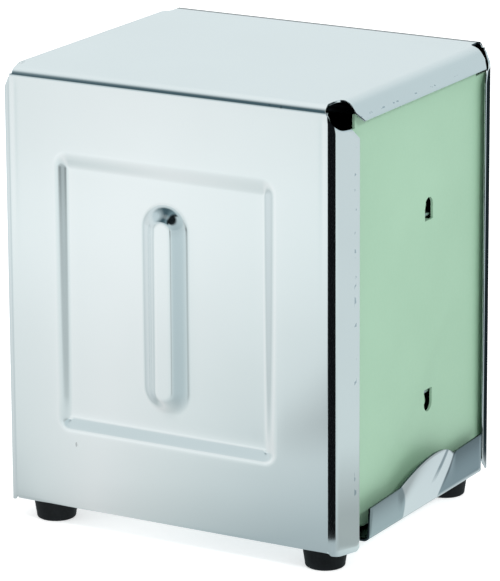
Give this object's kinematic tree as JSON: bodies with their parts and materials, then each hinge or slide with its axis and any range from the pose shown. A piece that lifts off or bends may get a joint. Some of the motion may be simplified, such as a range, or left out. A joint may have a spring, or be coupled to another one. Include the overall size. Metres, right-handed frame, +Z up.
{
  "type": "napkin dispenser",
  "caption": "Two-sided tabletop napkin dispenser: a folded stainless wrapper with flared mouths, a tray with thumb lips, painted spring-loaded follower plates and rubber feet.",
  "frame": {"origin": "on the floor, under the centre of the dispenser", "axes": "+Z is up, +X leaves through the right mouth, -Y leaves through the front panel"},
  "size_m": [0.124, 0.101, 0.14],
  "materials": {
    "stainless": "polished",
    "mint_paint": "satin",
    "spring_steel": "satin",
    "black_rubber": "matte",
    "zinc_plate": "satin"
  },
  "bodies": {
    "housing": {"body_wrapper": "stainless", "base_tray": "stainless", "coil_spring": "spring_steel", "rubber_foot_front_right": "black_rubber", "rubber_foot_front_left": "black_rubber", "rubber_foot_rear_right": "black_rubber", "rubber_foot_rear_left": "black_rubber", "foot_screw_front_right": "zinc_plate", "foot_screw_front_left": "zinc_plate", "foot_screw_rear_right": "zinc_plate", "foot_screw_rear_left": "zinc_plate", "foot_washer_front_right": "zinc_plate", "foot_washer_front_left": "zinc_plate", "foot_washer_rear_right": "zinc_plate", "foot_washer_rear_left": "zinc_plate", "foot_nut_front_right": "zinc_plate", "foot_nut_front_left": "zinc_plate", "foot_nut_rear_right": "zinc_plate", "foot_nut_rear_left": "zinc_plate"},
    "right_follower": {"follower_plate_right": "mint_paint"},
    "left_follower": {"follower_plate_left": "mint_paint"}
  },
  "joints": [
    {"name": "right_follower_slide", "type": "slide", "parent": "housing", "child": "right_follower", "axis": [-1, 0, 0], "range_m": [0, 0.045], "stiffness_N_per_m": 150, "springref_m": -0.03, "deforming": ["coil_spring"]},
    {"name": "left_follower_slide", "type": "slide", "parent": "housing", "child": "left_follower", "axis": [1, 0, 0], "range_m": [0, 0.045], "stiffness_N_per_m": 150, "springref_m": -0.03, "deforming": ["coil_spring"]}
  ]
}
